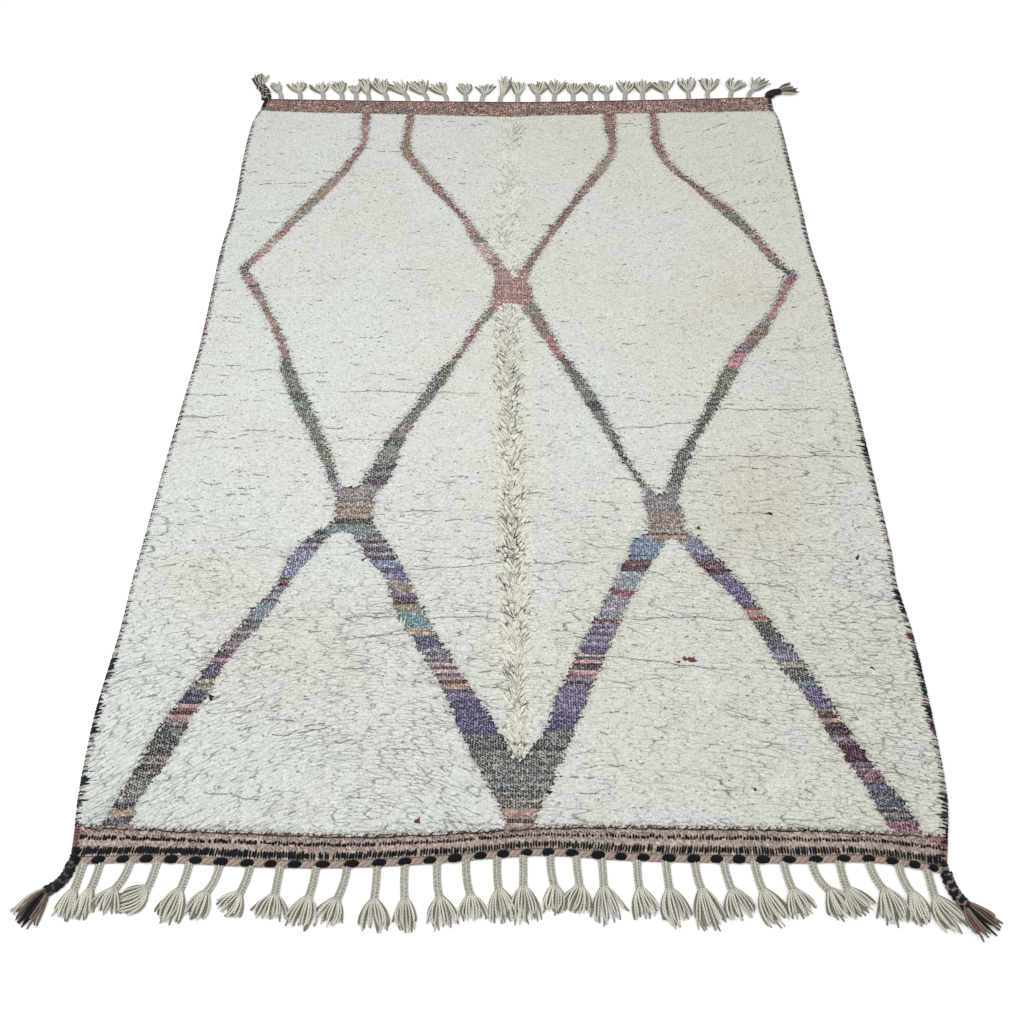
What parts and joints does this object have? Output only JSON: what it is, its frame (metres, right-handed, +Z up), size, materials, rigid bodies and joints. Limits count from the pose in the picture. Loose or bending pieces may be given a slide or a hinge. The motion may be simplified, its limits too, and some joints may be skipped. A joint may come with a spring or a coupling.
{
  "type": "azilal rug",
  "caption": "Flat hand-woven wool rug with cream pile panels between sunken flat-woven bands in a lozenge lattice, overcast sides, and plaited tassels at both ends and at its corners.",
  "frame": {"origin": "middle of the cloth's flat underside", "axes": "+X across the rug to its right side, +Y along the rug to its far end, +Z up out of the pile"},
  "size_m": [1.72, 2.5275, 0.0175],
  "materials": {
    "cream_wool": "matte hand-knotted wool pile on a flat-woven ground",
    "left_binding_yarn": "matte wool yarn, overcast",
    "right_binding_yarn": "matte wool yarn, overcast",
    "near_fringe_yarn": "matte wool yarn, twined and plaited",
    "far_fringe_yarn": "matte wool yarn, plaited",
    "corner_yarn": "matte wool yarn, plaited"
  },
  "bodies": {
    "root": {"rug_body": "cream_wool", "left_selvedge": "left_binding_yarn", "right_selvedge": "right_binding_yarn", "near_fringe": "near_fringe_yarn", "far_fringe": "far_fringe_yarn", "corner_near_left": "corner_yarn", "corner_near_right": "corner_yarn", "corner_far_left": "corner_yarn", "corner_far_right": "corner_yarn"}
  },
  "joints": []
}
